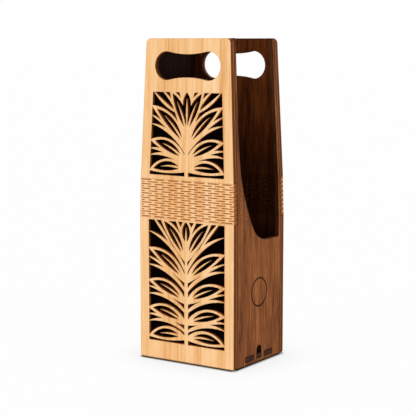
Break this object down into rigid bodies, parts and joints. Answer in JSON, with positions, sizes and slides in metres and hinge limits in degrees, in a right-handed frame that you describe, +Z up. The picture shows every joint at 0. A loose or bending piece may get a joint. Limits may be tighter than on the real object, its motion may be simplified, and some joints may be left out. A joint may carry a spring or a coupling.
{
  "type": "bottle caddy",
  "caption": "Tall wooden bottle caddy with pierced front and back walls, kerf-cut hinge bands, handle holes and a scooped side",
  "frame": {"origin": "middle of the base, on the surface that it stands on", "axes": "+Z up, the front pierced wall faces -Y, the scooped side panel is on +X"},
  "size_m": [0.115, 0.096, 0.33],
  "materials": {
    "light_wood": "oiled light plywood",
    "dark_wood": "oiled dark plywood"
  },
  "bodies": {
    "box": {"floor_panel": "dark_wood", "right_side_panel": "dark_wood", "left_side_panel": "dark_wood", "front_lower_panel": "light_wood", "front_lower_liner": "dark_wood", "front_living_hinge": "light_wood", "front_hinge_backing": "dark_wood", "back_lower_panel": "light_wood", "back_lower_liner": "dark_wood", "back_living_hinge": "light_wood", "back_hinge_backing": "dark_wood"},
    "front_leaf": {"front_upper_leaf": "light_wood", "front_upper_liner": "dark_wood"},
    "back_leaf": {"back_upper_leaf": "light_wood", "back_upper_liner": "dark_wood"}
  },
  "joints": [
    {"name": "front_leaf_flex", "type": "hinge", "parent": "box", "child": "front_leaf", "pos_m": [0, -0.04457, 0.168], "axis": [1, 0, 0], "range_deg": [0, 12], "stiffness_Nm_per_rad": 2, "deforming": ["front_living_hinge", "front_hinge_backing"]},
    {"name": "back_leaf_flex", "type": "hinge", "parent": "box", "child": "back_leaf", "pos_m": [0, 0.04457, 0.168], "axis": [-1, 0, 0], "range_deg": [0, 12], "stiffness_Nm_per_rad": 2, "deforming": ["back_living_hinge", "back_hinge_backing"]}
  ]
}
